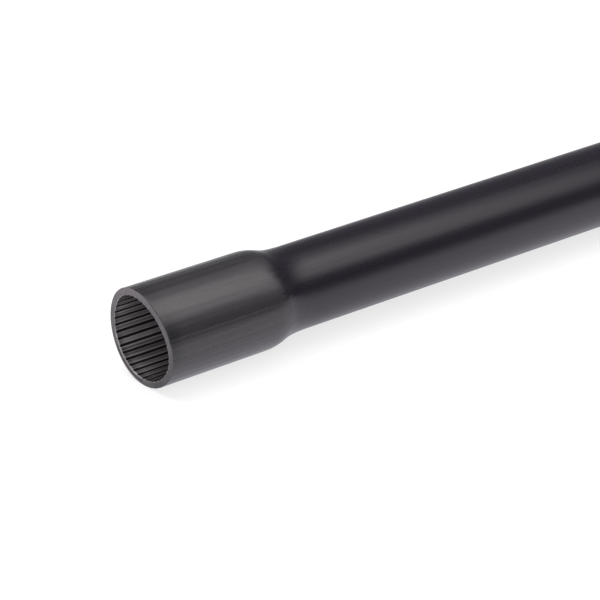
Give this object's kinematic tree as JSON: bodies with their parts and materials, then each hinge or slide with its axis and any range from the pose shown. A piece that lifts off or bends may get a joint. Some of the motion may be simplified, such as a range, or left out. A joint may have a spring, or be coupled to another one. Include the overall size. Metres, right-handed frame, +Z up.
{
  "type": "electrical conduit",
  "caption": "Rigid plastic conduit for wiring: a straight pipe with a belled socket at its end and fine grooves along its bore.",
  "frame": {"origin": "centre of the socket's mouth, on the conduit's axis", "axes": "+X along the axis from the mouth to the plain end, +Z up"},
  "size_m": [2, 0.0238, 0.0238],
  "materials": {
    "black_plastic": "extruded black plastic, satin along the pipe and dull with faint streaks on the bell"
  },
  "bodies": {
    "root": {"conduit": "black_plastic"}
  },
  "joints": []
}
